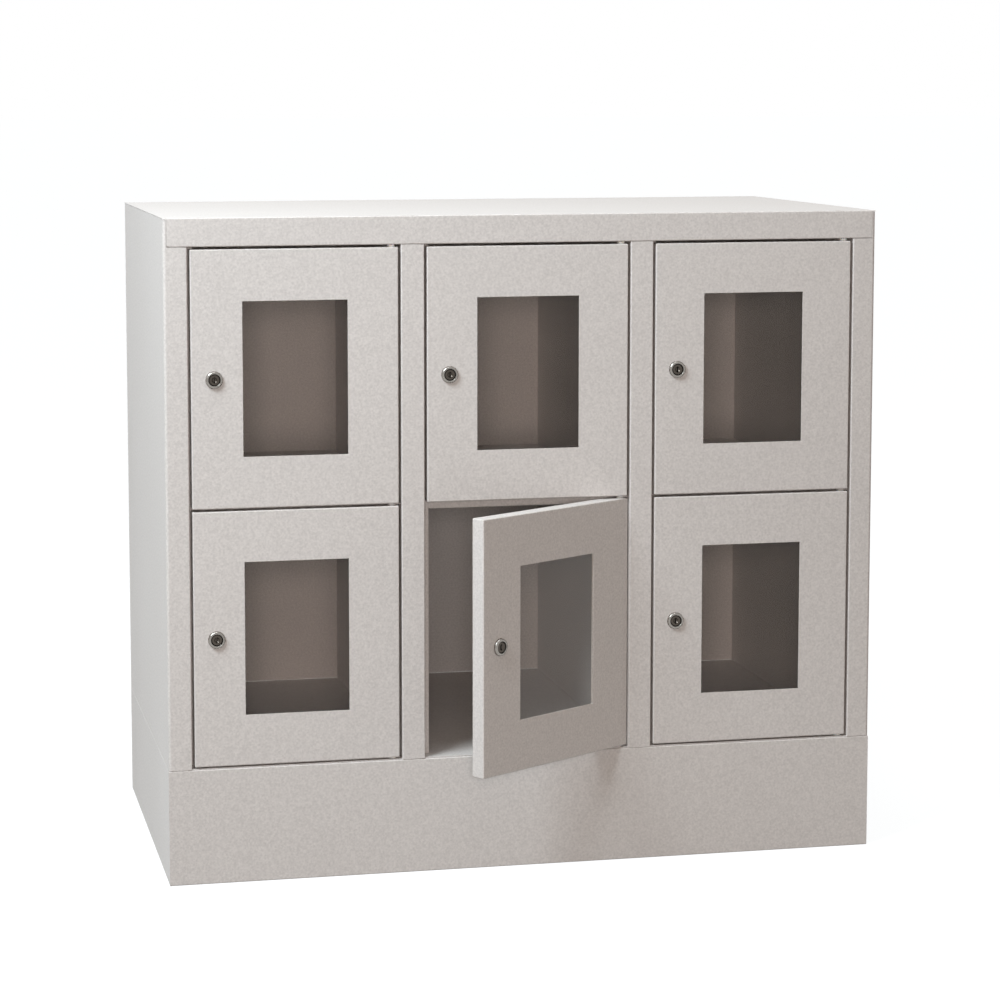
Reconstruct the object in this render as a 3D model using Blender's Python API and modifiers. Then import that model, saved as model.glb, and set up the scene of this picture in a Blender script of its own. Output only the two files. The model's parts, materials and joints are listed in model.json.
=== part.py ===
"""Low compartment locker of folded sheet steel: three columns, two rows, six windowed doors.

Metres, +Z up, front towards -Y, +X to the right as seen from the front. The origin lies on the
floor, midway between the sides, and midway between the back and the edge of the open door.
"""
from math import cos, hypot, pi, radians, sin

import bmesh
import bpy
from mathutils import Matrix, Vector

# Carcass
locker_width = 0.930
locker_depth = 0.500
locker_height = 0.845
column_names = ("left", "middle", "right")
row_names = ("lower", "upper")
carcass_sheet = 0.001
upright_width = 0.030
top_rail_height = 0.036
plinth_height = 0.148
plinth_flange = 0.030
rear_flange = 0.015
stop_flange = 0.009
fold_radius = 0.0015
lap_gap = 0.0003

# Shelves
shelf_rise = 0.005
shelf_front_fold = 0.017
shelf_front_lip = 0.010
shelf_rear_flange = 0.015
shelf_clearance = 0.001

# Doors
door_gap = 0.0034
door_sheet = 0.001
door_thickness = 0.020
door_lip = 0.012
door_stop_gap = 0.0015
open_door = "lower_middle"
open_angle = radians(32)
window_border = 0.065

# Window panes, and the stepped frames that hold them
pane_thickness = 0.003
pane_overlap = 0.008
retainer_sheet = 0.001
retainer_flange = 0.008
retainer_setback = 0.001

# Pivot hinges
pin_front_distance = 0.0075
swing_clearance = 0.0005
running_gap = 0.0003
pin_radius = 0.0025
pin_collar_radius = 0.0048
pin_head_radius = 0.0042
pin_head_height = 0.002
pin_tip = 0.001
pin_engagement = 0.006
tab_sheet = 0.001
tab_border = 0.0015

# Cam locks
lock_edge_distance = 0.029
bezel_radius = 0.011
bezel_height = 0.004
bezel_chamfer = 0.0012
barrel_radius = 0.009
plug_radius = 0.0065
plug_recess = 0.0005
key_slot_width = 0.0018
key_slot_length = 0.0078
key_slot_depth = 0.006
spigot_width = 0.007
nut_width = 0.022
nut_thickness = 0.004
cam_thickness = 0.0025
cam_width = 0.016
cam_corner_radius = 0.006
cam_flange_gap = 0.0015
cam_jamb_gap = 0.004
cam_screw_radius = 0.0065
cam_screw_height = 0.002

# How finely round pieces are divided, how near their ends weld, and how far a cutter runs on
round_segments = 24
small_segments = 16
fold_segments = 2
nut_sides = 6
weld_distance = 0.00001
cut_overrun = 0.002

# Sizes that follow from those above. A depth is counted back from the front face.
column_count = len(column_names)
row_count = len(row_names)
lower_row = row_names.index("lower")
upper_row = row_names.index("upper")
opening_width = (locker_width - (column_count + 1) * upright_width) / column_count
door_width = opening_width - 2 * door_gap
door_zone = locker_height - top_rail_height - plinth_height
door_height = (door_zone - (row_count + 1) * door_gap) / row_count
window_width = door_width - 2 * window_border
window_height = door_height - 2 * window_border
skin = carcass_sheet + lap_gap
jamb_depth = door_thickness + door_stop_gap
stop_back_depth = jamb_depth + carcass_sheet
rear_panel_depth = locker_depth - skin - carcass_sheet
floor_bottom = plinth_height + lap_gap
floor_top = floor_bottom + carcass_sheet
roof_bottom = locker_height - carcass_sheet
rail_bottom = locker_height - top_rail_height

# The pin stands just far enough from the door's edge for the front corner to swing clear of the
# upright beside it.
corner_room = door_gap - swing_clearance
pin_edge_distance = (pin_front_distance ** 2 - corner_room ** 2) / (2 * corner_room)
door_corner_swing = hypot(pin_edge_distance, door_thickness - pin_front_distance)
shelf_front_depth = max(stop_back_depth, pin_front_distance + door_corner_swing) + shelf_clearance
pin_hole_radius = pin_radius + running_gap
tab_middle = plinth_height + door_gap + door_height + door_gap / 2
tab_bottom = tab_middle - tab_sheet / 2
tab_top = tab_middle + tab_sheet / 2
cam_front = stop_back_depth + cam_flange_gap
cam_back = cam_front + cam_thickness
cam_reach = lock_edge_distance + door_gap - cam_jamb_gap

# Places of the front and left faces, which put the origin under the middle of the whole
open_reach = (
    (door_width - pin_edge_distance - fold_radius) * sin(open_angle)
    + (pin_front_distance - fold_radius) * cos(open_angle)
    + fold_radius - pin_front_distance
)
front_y = (open_reach - locker_depth) / 2
back_y = front_y + locker_depth
left_x = -locker_width / 2
right_x = locker_width / 2
pin_y = front_y + pin_front_distance

finishes = {
    "powder_coated_steel": ((0.617, 0.591, 0.565), 0.5, 0.0),
    "nickel_plated_zinc": ((0.50, 0.48, 0.45), 0.3, 1.0),
    "zinc_plated_steel": ((0.56, 0.57, 0.58), 0.4, 1.0),
    "clear_acrylic": ((0.93, 0.95, 0.95), 0.05, 0.0),
    "white_nylon": ((0.86, 0.86, 0.84), 0.45, 0.0),
}


def clear_scene():
    """Removes whatever the file opened with."""
    for obj in list(bpy.data.objects):
        bpy.data.objects.remove(obj, do_unlink=True)


def new_collection(name):
    """Adds an empty collection to the scene."""
    collection = bpy.data.collections.new(name)
    bpy.context.scene.collection.children.link(collection)
    return collection


def finish_material(name, finish):
    """A Principled material with the colour, roughness and metallic value of one finish."""
    colour, roughness, metallic = finishes[finish]
    material = bpy.data.materials.new(name)
    material.use_nodes = True
    shader = material.node_tree.nodes["Principled BSDF"]
    shader.inputs["Base Color"].default_value = (*colour, 1.0)
    shader.inputs["Roughness"].default_value = roughness
    shader.inputs["Metallic"].default_value = metallic
    return material


def new_object(name, bm, finish=None, parent=None):
    """Turns a bmesh into an object: a part where it has a finish, otherwise a hidden cutter."""
    mesh = bpy.data.meshes.new(name)
    bm.to_mesh(mesh)
    bm.free()
    obj = bpy.data.objects.new(name, mesh)
    if finish:
        mesh.materials.append(finish_material(name, finish))
        parts.objects.link(obj)
    else:
        obj.hide_render = True
        obj.display_type = "WIRE"
        cutters.objects.link(obj)
    obj.parent = parent
    return obj


def new_pivot(name, place, rotation, parent=None):
    """An empty on a joint's axis, which carries the pieces that turn about it."""
    pivot = bpy.data.objects.new(name, None)
    pivot.location = place
    pivot.rotation_euler = rotation
    pivot.empty_display_size = pin_engagement
    pivot.parent = parent
    parts.objects.link(pivot)
    return pivot


def add_box(bm, corner, opposite):
    """Adds a box to a bmesh, between two opposite corners."""
    corner, opposite = Vector(corner), Vector(opposite)
    size = Matrix.Diagonal((*map(abs, opposite - corner), 1))
    middle = Matrix.Translation((corner + opposite) / 2)
    bmesh.ops.create_cube(bm, size=1, matrix=middle @ size)


def add_cylinder(bm, radius, low, high, segments, centre=(0, 0)):
    """Adds an upright cylinder to a bmesh."""
    place = Matrix.Translation((*centre, (low + high) / 2))
    bmesh.ops.create_cone(bm, cap_ends=True, segments=segments, radius1=radius, radius2=radius,
                          depth=high - low, matrix=place)


def turned(name, profile, segments, finish=None, parent=None):
    """A turned piece: a profile of radii and heights, from the top down, spun round Z."""
    bm = bmesh.new()
    points = [bm.verts.new((radius, 0, height)) for radius, height in profile]
    for pair in zip(points, points[1:]):
        bm.edges.new(pair)
    obj = new_object(name, bm, finish, parent)
    screw = obj.modifiers.new("turn", "SCREW")
    screw.steps = segments
    screw.render_steps = segments
    screw.use_merge_vertices = True
    screw.merge_threshold = weld_distance
    return obj


def combine(target, tool, operation):
    """Cuts a tool from a part, or joins it on."""
    modifier = target.modifiers.new(tool.name, "BOOLEAN")
    modifier.operation = operation
    modifier.solver = "EXACT"
    modifier.object = tool


def cut_box(target, corner, opposite):
    """Cuts a box-shaped notch out of a part."""
    bm = bmesh.new()
    add_box(bm, corner, opposite)
    notch = new_object(f"{target.name}_notch_{len(target.modifiers)}", bm, parent=target.parent)
    combine(target, notch, "DIFFERENCE")


def cut_hole(target, radius, low, high, centre=(0, 0), segments=small_segments):
    """Drills an upright round hole through what lies between two heights."""
    bm = bmesh.new()
    add_cylinder(bm, radius, low - cut_overrun, high + cut_overrun, segments, centre)
    hole = new_object(f"{target.name}_hole_{len(target.modifiers)}", bm, parent=target.parent)
    combine(target, hole, "DIFFERENCE")


def add_thickness(obj, thickness):
    """Gives an open surface its sheet thickness, behind its outer skin."""
    solid = obj.modifiers.new("sheet", "SOLIDIFY")
    solid.thickness = thickness
    solid.offset = -1
    solid.use_even_offset = True
    solid.use_quality_normals = True


def folded_sheet(name, outline, sweep, outer):
    """A sheet of the carcass, folded along parallel lines.

    outline holds the corners of the outer skin, sweep is the vector along which they run, and
    outer is the side that the first flat looks to. The folds are rounded before the sheet gets
    its thickness.
    """
    bm = bmesh.new()
    corners = [bm.verts.new(point) for point in outline]
    lines = [bm.edges.new(pair) for pair in zip(corners, corners[1:])]
    first_line = lines[0]
    swept = bmesh.ops.extrude_edge_only(bm, edges=lines)["geom"]
    moved = [item for item in swept if isinstance(item, bmesh.types.BMVert)]
    bmesh.ops.translate(bm, verts=moved, vec=sweep)
    bm.normal_update()
    if first_line.link_faces[0].normal.dot(Vector(outer)) < 0:
        bmesh.ops.reverse_faces(bm, faces=bm.faces)
    folds = [edge for edge in bm.edges if len(edge.link_faces) == 2]
    bmesh.ops.bevel(bm, geom=folds, offset=fold_radius, segments=fold_segments, profile=0.5,
                    affect="EDGES")
    obj = new_object(name, bm, "powder_coated_steel")
    add_thickness(obj, carcass_sheet)
    return obj


def wall_x(column):
    """Left wall of a column, or the outer face of the right side after the last one."""
    return left_x + column * (opening_width + upright_width)


def opening_right(column):
    """Right edge of a column's clear opening."""
    return wall_x(column) + upright_width + opening_width


def pin_centre(column):
    """Hinge axis of a column's doors, seen from above."""
    return (opening_right(column) - door_gap - pin_edge_distance, pin_y)


def door_bottom(row):
    """Height of the lower edge of a row's doors."""
    return plinth_height + door_gap + row * (door_height + door_gap)


def trim_upright(panel, wall, far, outside):
    """Clears an upright for the floor panel below it and for the rail and lip above it.

    wall is the wall's own side and far the other side of the upright. An outside wall stands
    beside the floor and the lip, which an inner one meets.
    """
    inward = 1 if far > wall else -1
    beyond_wall = wall - inward * cut_overrun
    beside_wall = wall + inward * skin
    beyond_far = far + inward * cut_overrun
    above = locker_height
    below = floor_bottom - cut_overrun
    rail = rail_bottom - lap_gap
    before = front_y - cut_overrun
    lip_depth = skin if outside else jamb_depth + lap_gap
    cut_box(panel, (beside_wall if outside else beyond_wall, front_y + skin, below),
            (beyond_far, back_y - skin, floor_top + lap_gap))
    cut_box(panel, (beyond_wall, before, rail), (beyond_far, front_y + lip_depth, above))
    cut_box(panel, (beside_wall, before, rail),
            (beyond_far, front_y + stop_back_depth + cut_overrun, above))


def upright(name, wall, rear_depth, outside):
    """Left wall of a column in one folded sheet: rear flange, wall, face, jamb and door stop."""
    rear = front_y + rear_depth
    face_end = wall + upright_width
    stop = front_y + jamb_depth
    outline = ((wall + rear_flange, rear), (wall, rear), (wall, front_y), (face_end, front_y),
               (face_end, stop), (face_end + stop_flange, stop))
    panel = folded_sheet(name, [(*point, floor_bottom) for point in outline],
                         (0, 0, roof_bottom - lap_gap - floor_bottom), (0, 1, 0))
    trim_upright(panel, wall, face_end + stop_flange, outside)
    return panel


def right_side_panel():
    """Right side: rear flange, outer wall, stile and a jamb without a door stop."""
    jamb = right_x - upright_width
    outline = ((right_x - rear_flange, back_y), (right_x, back_y), (right_x, front_y),
               (jamb, front_y), (jamb, front_y + jamb_depth))
    panel = folded_sheet("right_side_panel", [(*point, floor_bottom) for point in outline],
                         (0, 0, roof_bottom - lap_gap - floor_bottom), (0, 1, 0))
    trim_upright(panel, right_x, jamb, True)
    return panel


def right_lining():
    """Inner wall of the right column, lapped behind the jamb of the right side panel."""
    wall = right_x - upright_width + skin
    front = front_y + jamb_depth / 2
    rear = front_y + rear_panel_depth - lap_gap
    foot = floor_top + lap_gap
    outline = ((wall, front, foot), (wall, rear, foot), (wall + rear_flange, rear, foot))
    panel = folded_sheet("right_lining", outline, (0, 0, roof_bottom - lap_gap - foot), (-1, 0, 0))
    cut_box(panel, (wall - cut_overrun, front_y, rail_bottom - lap_gap),
            (wall + rear_flange, front_y + jamb_depth + lap_gap, locker_height))


def roof_panel():
    """Top sheet, folded down in front as the top rail, and back again as a lip over the doors."""
    outline = ((front_y + jamb_depth, rail_bottom), (front_y, rail_bottom),
               (front_y, locker_height), (back_y, locker_height))
    panel = folded_sheet("roof_panel", [(left_x, *point) for point in outline],
                         (locker_width, 0, 0), (0, 0, -1))
    for side, outward in ((left_x, -1), (right_x, 1)):
        cut_box(panel, (side + outward * cut_overrun, front_y + skin, rail_bottom - cut_overrun),
                (side - outward * skin, front_y + stop_back_depth, roof_bottom - lap_gap))
    for column in range(column_count):
        cut_hole(panel, pin_hole_radius, rail_bottom, rail_bottom + carcass_sheet,
                 pin_centre(column))


def flat_panels():
    """Rear panel inside the rear flanges of the sides, and floor panel on top of the plinth."""
    rear = bmesh.new()
    add_box(rear, (left_x + skin, front_y + rear_panel_depth, floor_top + lap_gap),
            (right_x - skin, back_y - skin, roof_bottom - lap_gap))
    new_object("rear_panel", rear, "powder_coated_steel")
    floor = bmesh.new()
    add_box(floor, (left_x + skin, front_y + skin, floor_bottom),
            (right_x - skin, back_y - skin, floor_top))
    panel = new_object("floor_panel", floor, "powder_coated_steel")
    for column in range(column_count):
        cut_hole(panel, pin_hole_radius, floor_bottom, floor_top, pin_centre(column))


def shelf(column):
    """Floor of an upper compartment, folded down in front and at the back."""
    top = door_bottom(upper_row) + shelf_rise
    front = front_y + shelf_front_depth
    rear = front_y + rear_panel_depth - lap_gap - skin
    fold = top - shelf_front_fold
    outline = ((front + shelf_front_lip, fold), (front, fold), (front, top), (rear, top),
               (rear, top - shelf_rear_flange))
    left = wall_x(column) + skin
    right = opening_right(column) - lap_gap
    if column == column_count - 1:
        right += skin
    folded_sheet(f"{column_names[column]}_shelf", [(left, *point) for point in outline],
                 (right - left, 0, 0), (0, 0, -1))


def plinth():
    """Four strips with a flange above and a foot below; the sides fit between front and rear."""
    steps = ((plinth_flange, plinth_height), (0, plinth_height), (0, 0), (plinth_flange, 0))
    for name, y, inward in (("plinth_front", front_y, 1), ("plinth_rear", back_y, -1)):
        outline = [(left_x, y + inward * reach, height) for reach, height in steps]
        strip = folded_sheet(name, outline, (locker_width, 0, 0), (0, 0, 1))
        for side, outward in ((left_x, -1), (right_x, 1)):
            cut_box(strip, (side + outward * cut_overrun, y + inward * skin, -cut_overrun),
                    (side - outward * skin, y + inward * (plinth_flange + cut_overrun),
                     plinth_height + cut_overrun))
        if inward == 1:
            for column in range(column_count):
                cut_hole(strip, pin_hole_radius, plinth_height - carcass_sheet, plinth_height,
                         pin_centre(column))
    corner = plinth_flange + lap_gap
    for name, x, inward in (("plinth_left", left_x, 1), ("plinth_right", right_x, -1)):
        outline = [(x + inward * reach, front_y + skin, height) for reach, height in steps]
        strip = folded_sheet(name, outline, (0, locker_depth - 2 * skin, 0), (0, 0, 1))
        near, far = x + inward * skin, x + inward * (plinth_flange + cut_overrun)
        for y_low, y_high in ((front_y, front_y + corner), (back_y - corner, back_y)):
            cut_box(strip, (near, y_low, -cut_overrun),
                    (far, y_high, plinth_height + cut_overrun))


def weld_tab(panel, column):
    """Adds the small plate in the gap between the rows that holds a column's middle pin."""
    x, y = pin_centre(column)
    reach = pin_hole_radius + tab_border
    bm = bmesh.new()
    add_box(bm, (x - reach, y - reach, tab_bottom),
            (opening_right(column) + carcass_sheet / 2, y + reach, tab_top))
    combine(panel, new_object(f"{panel.name}_tab", bm), "UNION")
    cut_hole(panel, pin_hole_radius, tab_bottom, tab_top, (x, y))


def pivot_pin(name, column, top, rings, bottom):
    """A nylon pin snapped into its sheet. rings are radius, top and bottom of its wider parts."""
    profile = [(0, top), (pin_radius, top)]
    for radius, upper, lower in rings:
        profile += [(pin_radius, upper), (radius, upper), (radius, lower), (pin_radius, lower)]
    profile += [(pin_radius, bottom), (0, bottom)]
    pin = turned(f"{column_names[column]}_{name}_pin", profile, small_segments, "white_nylon")
    pin.location = (*pin_centre(column), 0)


def pivot_pins(column):
    """The three fixed pins of a column, whose collars fill the gaps above and below its doors."""
    lower_edge, upper_edge = door_bottom(lower_row), door_bottom(upper_row)
    lower_top, upper_top = lower_edge + door_height, upper_edge + door_height
    lip_seat = rail_bottom + skin
    floor_seat = plinth_height - skin
    pivot_pin("top", column, lip_seat + pin_head_height + pin_tip,
              ((pin_head_radius, lip_seat + pin_head_height, lip_seat),
               (pin_collar_radius, rail_bottom - lap_gap, upper_top + lap_gap)),
              upper_top - pin_engagement)
    pivot_pin("middle", column, upper_edge + pin_engagement,
              ((pin_collar_radius, upper_edge - lap_gap, tab_top + lap_gap),
               (pin_collar_radius, tab_bottom - lap_gap, lower_top + lap_gap)),
              lower_top - pin_engagement)
    pivot_pin("bottom", column, lower_edge + pin_engagement,
              ((pin_collar_radius, lower_edge - lap_gap, floor_top + lap_gap),
               (pin_head_radius, floor_seat, floor_seat - pin_head_height)),
              floor_seat - pin_head_height - pin_tip)


def door_panel(name, hinge):
    """Door tray: front sheet with the window, four folded sides and a lip round the back."""
    bm = bmesh.new()
    front = -pin_front_distance
    add_box(bm, (pin_edge_distance - door_width, front, 0),
            (pin_edge_distance, front + door_thickness, door_height))
    bmesh.ops.bevel(bm, geom=bm.edges[:], offset=fold_radius, segments=fold_segments,
                    profile=0.5, affect="EDGES")
    broad = sorted(bm.faces, key=lambda face: face.calc_area())[-2:]
    broad.sort(key=lambda face: face.calc_center_median().y)
    for face, border in zip(broad, (window_border, door_lip)):
        bmesh.ops.inset_individual(bm, faces=[face], thickness=border - fold_radius,
                                   use_even_offset=True)
    bmesh.ops.delete(bm, geom=broad, context="FACES")
    panel = new_object(f"{name}_door_panel", bm, "powder_coated_steel", hinge)
    add_thickness(panel, door_sheet)
    for low in (0, door_height - door_sheet):
        cut_hole(panel, pin_hole_radius, low, low + door_sheet)
    return panel


def around_window(reach, low, high):
    """Opposite corners of a box that is larger than the window all round, between two depths."""
    middle = pin_edge_distance - door_width / 2
    half_width = window_width / 2 + reach
    return ((middle - half_width, low - pin_front_distance, window_border - reach),
            (middle + half_width, high - pin_front_distance,
             door_height - window_border + reach))


def window_pane(name, hinge):
    """Clear pane behind the door's front sheet, larger than the window all round."""
    front = door_sheet + lap_gap
    bm = bmesh.new()
    add_box(bm, *around_window(pane_overlap, front, front + pane_thickness))
    new_object(f"{name}_window_pane", bm, "clear_acrylic", hinge)


def window_retainer(name, hinge):
    """Stepped frame behind the pane: flange on the door sheet, riser, flange on the pane."""
    front = door_sheet + lap_gap
    on_pane = front + pane_thickness + lap_gap
    pocket = pane_overlap + lap_gap
    riser = pocket + retainer_sheet
    bm = bmesh.new()
    add_box(bm, *around_window(riser + retainer_flange, front, front + retainer_sheet))
    retainer = new_object(f"{name}_window_retainer", bm, "powder_coated_steel", hinge)
    bm = bmesh.new()
    add_box(bm, *around_window(riser, front + retainer_sheet / 2, on_pane + retainer_sheet))
    combine(retainer, new_object(f"{name}_retainer_riser", bm, parent=hinge), "UNION")
    cut_box(retainer, *around_window(pocket, front - cut_overrun, on_pane))
    cut_box(retainer, *around_window(retainer_setback, front, on_pane + cut_overrun))


def lock_housing(name, lock, panel):
    """Lock body with its bezel, through the door's front sheet, and its nut behind the sheet."""
    rear = cam_front - lap_gap
    profile = ((0, rear), (barrel_radius, rear), (barrel_radius, -lap_gap),
               (bezel_radius, -lap_gap), (bezel_radius, bezel_chamfer - bezel_height),
               (bezel_radius - bezel_chamfer, -bezel_height), (0, -bezel_height))
    housing = turned(f"{name}_lock_housing", profile, round_segments, "nickel_plated_zinc", lock)
    seat = door_sheet + lap_gap
    bm = bmesh.new()
    add_cylinder(bm, nut_width / 2 / cos(pi / nut_sides), seat, seat + nut_thickness, nut_sides)
    combine(housing, new_object(f"{name}_lock_nut", bm, parent=lock), "UNION")
    cut_hole(housing, plug_radius + running_gap, -bezel_height, rear, segments=round_segments)
    bm = bmesh.new()
    add_cylinder(bm, barrel_radius + lap_gap, -cut_overrun, door_sheet + cut_overrun,
                 round_segments)
    combine(panel, new_object(f"{name}_lock_hole", bm, parent=lock), "DIFFERENCE")


def lock_plug(name, lock):
    """Turning cylinder with the key slot in front and a square spigot for the cam behind."""
    front, rear = plug_recess - bezel_height, cam_front - lap_gap
    profile = ((0, rear), (plug_radius, rear), (plug_radius, front), (0, front))
    plug = turned(f"{name}_lock_plug", profile, round_segments, "nickel_plated_zinc", lock)
    bm = bmesh.new()
    half = spigot_width / 2
    add_box(bm, (-half, -half, rear - cut_overrun), (half, half, cam_back - 2 * lap_gap))
    combine(plug, new_object(f"{name}_lock_spigot", bm, parent=lock), "UNION")
    cut_box(plug, (-key_slot_width / 2, -key_slot_length / 2, front - cut_overrun),
            (key_slot_width / 2, key_slot_length / 2, front + key_slot_depth))


def lock_cam(name, lock):
    """Flat latch on the spigot, pointing down when the door is unlocked, and its screw."""
    bm = bmesh.new()
    add_box(bm, (-cam_width / 2, -cam_width / 2, cam_front), (cam_width / 2, cam_reach, cam_back))
    corners = [edge for edge in bm.edges if abs(edge.verts[0].co.z - edge.verts[1].co.z) > 0]
    bmesh.ops.bevel(bm, geom=corners, offset=cam_corner_radius, segments=fold_segments,
                    profile=0.5, affect="EDGES")
    cam = new_object(f"{name}_lock_cam", bm, "zinc_plated_steel", lock)
    half = spigot_width / 2 + running_gap
    cut_box(cam, (-half, -half, cam_front - cut_overrun), (half, half, cam_back + cut_overrun))
    bm = bmesh.new()
    add_cylinder(bm, cam_screw_radius, cam_back - lap_gap, cam_back + cam_screw_height,
                 round_segments)
    combine(cam, new_object(f"{name}_lock_cam_screw", bm, parent=lock), "UNION")


def door(row, column):
    """One door with its window and lock, on a pivot that stands on the hinge axis."""
    name = f"{row_names[row]}_{column_names[column]}"
    angle = open_angle if name == open_door else 0
    hinge = new_pivot(f"{name}_hinge", (*pin_centre(column), door_bottom(row)), (0, 0, angle))
    lock_x = pin_edge_distance - door_width + lock_edge_distance
    lock = new_pivot(f"{name}_lock", (lock_x, -pin_front_distance, door_height / 2),
                     (-pi / 2, 0, 0), hinge)
    panel = door_panel(name, hinge)
    window_pane(name, hinge)
    window_retainer(name, hinge)
    lock_housing(name, lock, panel)
    lock_plug(name, lock)
    lock_cam(name, lock)


def locker():
    """Builds the carcass, then the six doors."""
    upright("left_side_panel", left_x, locker_depth, True)
    partition_depth = rear_panel_depth - lap_gap
    hinge_sides = (upright("left_partition", wall_x(1), partition_depth, False),
                   upright("middle_partition", wall_x(2), partition_depth, False),
                   right_side_panel())
    right_lining()
    roof_panel()
    flat_panels()
    plinth()
    for column in range(column_count):
        weld_tab(hinge_sides[column], column)
        pivot_pins(column)
        shelf(column)
        for row in range(row_count):
            door(row, column)


clear_scene()
parts = new_collection("compartment_locker")
cutters = new_collection("cutters")
locker()
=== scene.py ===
# %% [markdown]
# # A compartment locker, dressed over its CAD model
#
# The real object is a low locker of folded sheet steel with a grey powder coat: three columns, two
# rows, and six small doors with clear windows and cam locks. The lower middle door stands open.
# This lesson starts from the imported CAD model, which already has every size and joint right. Each
# sheet, pin and lock is modelled again with finer folds and softer edges, and gets the finish of
# the real one. The rear panel and the floor panel are flat in both, so those two solids stay.

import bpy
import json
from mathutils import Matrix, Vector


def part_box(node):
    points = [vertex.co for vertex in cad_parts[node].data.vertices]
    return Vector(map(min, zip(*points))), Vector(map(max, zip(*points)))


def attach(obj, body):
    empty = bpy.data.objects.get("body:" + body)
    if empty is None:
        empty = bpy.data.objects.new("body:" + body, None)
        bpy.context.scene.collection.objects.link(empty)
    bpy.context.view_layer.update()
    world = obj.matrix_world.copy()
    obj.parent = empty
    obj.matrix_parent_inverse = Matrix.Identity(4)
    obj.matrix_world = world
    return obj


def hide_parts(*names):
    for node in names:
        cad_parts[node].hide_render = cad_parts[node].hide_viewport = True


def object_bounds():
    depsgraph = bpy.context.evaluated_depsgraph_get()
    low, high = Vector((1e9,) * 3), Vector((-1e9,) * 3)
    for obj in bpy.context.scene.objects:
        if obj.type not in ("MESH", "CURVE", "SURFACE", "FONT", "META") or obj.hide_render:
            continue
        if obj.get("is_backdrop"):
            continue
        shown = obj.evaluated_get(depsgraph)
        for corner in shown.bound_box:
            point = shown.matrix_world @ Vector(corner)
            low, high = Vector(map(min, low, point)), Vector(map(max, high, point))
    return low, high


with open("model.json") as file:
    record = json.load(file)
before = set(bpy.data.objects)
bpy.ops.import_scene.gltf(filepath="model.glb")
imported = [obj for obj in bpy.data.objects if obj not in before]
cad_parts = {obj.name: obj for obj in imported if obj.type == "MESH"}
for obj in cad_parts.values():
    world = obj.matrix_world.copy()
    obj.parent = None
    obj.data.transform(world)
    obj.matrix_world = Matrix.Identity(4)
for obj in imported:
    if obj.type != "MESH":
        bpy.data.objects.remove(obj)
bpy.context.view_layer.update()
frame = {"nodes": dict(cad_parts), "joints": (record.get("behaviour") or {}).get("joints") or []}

# %% Modules
import json
from math import cos, pi, radians

import bmesh
import bpy
from mathutils import Euler, Matrix, Vector

# %% [markdown]
# ## Working by hand, in code
#
# Every step below is one that a modeller does by hand: select something, then run an operator on
# it. By hand the selection is a click. In code it is a test of place or direction, and the first
# helpers do just that. Deselecting first matters, because an operator acts on all that is
# selected, and the CAD model arrives selected.

# %% Selecting objects, and parts of a mesh


def work_on(piece):
    """Leaves one object selected and active."""
    bpy.ops.object.select_all(action="DESELECT")
    piece.select_set(True)
    bpy.context.view_layer.objects.active = piece


def middle_of(item):
    """Middle of an edge or a face."""
    return sum((corner.co for corner in item.verts), Vector()) / len(item.verts)


def pick(kind, test):
    """Selects, in edit mode, the corners, edges or faces that pass a test, and nothing else."""
    bpy.ops.mesh.select_all(action="DESELECT")
    bpy.ops.mesh.select_mode(type=kind)
    data = bpy.context.edit_object.data
    mesh = bmesh.from_edit_mesh(data)
    items = {"VERT": mesh.verts, "EDGE": mesh.edges, "FACE": mesh.faces}[kind]
    for item in items:
        if test(item):
            item.select_set(True)
    mesh.select_flush_mode()
    bmesh.update_edit_mesh(data)


# %% Modifiers that are applied at once


def apply_modifier(piece, kind, **settings):
    """Adds a modifier with its settings, and applies it."""
    work_on(piece)
    modifier = piece.modifiers.new(kind.lower(), kind)
    for setting, value in settings.items():
        setattr(modifier, setting, value)
    bpy.ops.object.modifier_apply(modifier=modifier.name)


# %% [markdown]
# ## Cutting and joining
#
# The laser cuts notches and holes in a blank before it is folded. In Blender it is easier to fold
# first and cut afterwards with a Boolean, because the notch can then be placed in the finished
# shape. The tool is a block or a drill that runs a little past the sheet on both sides.

# %% Blocks, drills and Booleans


def add_block(name, corner, opposite):
    """A box between two opposite corners."""
    corner, opposite = Vector(corner), Vector(opposite)
    bpy.ops.object.select_all(action="DESELECT")
    bpy.ops.mesh.primitive_cube_add(size=1, location=(corner + opposite) / 2)
    block = bpy.context.object
    block.name = block.data.name = name
    block.scale = [abs(side) for side in opposite - corner]
    bpy.ops.object.transform_apply(location=True, rotation=True, scale=True)
    return block


def combine(piece, tool, operation="DIFFERENCE"):
    """Cuts a tool out of a piece, or joins it on, and clears the tool away."""
    apply_modifier(piece, "BOOLEAN", object=tool, operation=operation, solver="EXACT")
    bpy.data.objects.remove(tool)


def cut_block(piece, corner, opposite):
    """Cuts a box-shaped notch."""
    combine(piece, add_block("notch", corner, opposite))


def drill(piece, radius, start, end, vertices=32):
    """Drills a round hole from one point to another."""
    start, end = Vector(start), Vector(end)
    bpy.ops.object.select_all(action="DESELECT")
    bpy.ops.mesh.primitive_cylinder_add(
        vertices=vertices, radius=radius, depth=(end - start).length,
        location=(start + end) / 2, rotation=(end - start).to_track_quat("Z", "Y").to_euler())
    combine(piece, bpy.context.object)


# %% [markdown]
# ## Smooth folds beside flat faces
#
# A fold should shade as one soft curve, and the flat beside it should stay flat. Smoothing by
# angle keeps real corners sharp. Weighted normals then let the large flats decide the shading,
# so a fold darkens only where it bends.

# %% Shading


def smooth(piece, angle=50):
    """Smooths what bends gently and keeps the corners and the flats."""
    work_on(piece)
    bpy.ops.object.shade_smooth_by_angle(angle=radians(angle))
    apply_modifier(piece, "WEIGHTED_NORMAL", keep_sharp=True, weight=80)


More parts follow.
